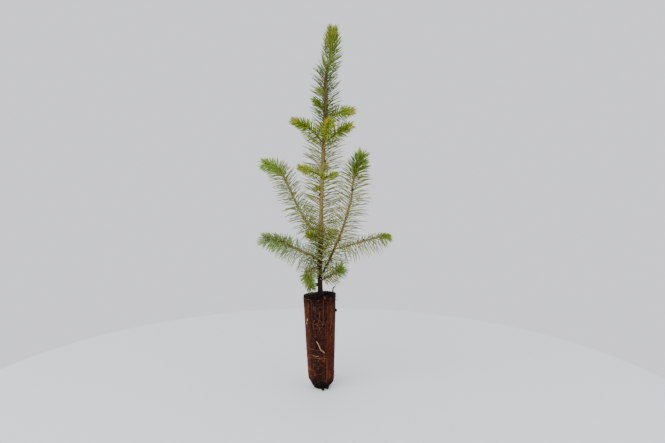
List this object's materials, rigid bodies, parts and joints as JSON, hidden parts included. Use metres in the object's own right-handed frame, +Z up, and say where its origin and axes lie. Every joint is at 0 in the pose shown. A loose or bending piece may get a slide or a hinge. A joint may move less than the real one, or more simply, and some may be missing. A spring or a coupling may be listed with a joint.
{
  "type": "norway spruce seedling",
  "caption": "Young Norway spruce with a slender trunk, rising side shoots and fine needles, standing on the tapered root plug of a nursery cell.",
  "frame": {"origin": "centre of the root plug's flat underside", "axes": "+Z up along the plant, +X to the right and +Y away as the plant is usually looked at, with the forked bough on the right"},
  "size_m": [0.1653, 0.1009, 0.4208],
  "materials": {
    "peat_and_roots": "matte",
    "bark": "matte",
    "needles_dull_green": "matte",
    "needles_bright_green": "matte",
    "needles_yellow_green": "matte"
  },
  "bodies": {
    "root": {"root_plug": "peat_and_roots", "trunk": "bark", "bough_right": "bark", "bough_right_fork": "bark", "bough_upper_left": "bark", "bough_lower_left": "bark", "bough_low_front": "bark", "bough_low_right": "bark", "bough_low_back": "bark", "needles_right": "needles_dull_green", "needles_upper_left": "needles_dull_green", "needles_lower_left": "needles_dull_green", "needles_low_back": "needles_dull_green", "needles_inner_right": "needles_dull_green", "needles_trunk_low": "needles_dull_green", "needles_trunk_middle": "needles_dull_green", "needles_trunk_upper": "needles_dull_green", "needles_trunk_neck": "needles_dull_green", "needles_low_front": "needles_bright_green", "needles_low_right": "needles_bright_green", "needles_inner_left": "needles_bright_green", "needles_tuft_left": "needles_bright_green", "needles_right_fork": "needles_yellow_green", "needles_bud_left": "needles_yellow_green", "needles_middle_left": "needles_yellow_green", "needles_middle_right": "needles_yellow_green", "needles_middle_front": "needles_yellow_green", "needles_middle_back": "needles_yellow_green", "needles_whorl_left": "needles_yellow_green", "needles_whorl_right": "needles_yellow_green", "needles_whorl_front": "needles_yellow_green", "needles_whorl_back": "needles_yellow_green", "needles_high_right": "needles_yellow_green", "needles_tuft_high": "needles_yellow_green", "needles_leader_foot": "needles_yellow_green", "needles_leader_tip": "needles_yellow_green"}
  },
  "joints": []
}
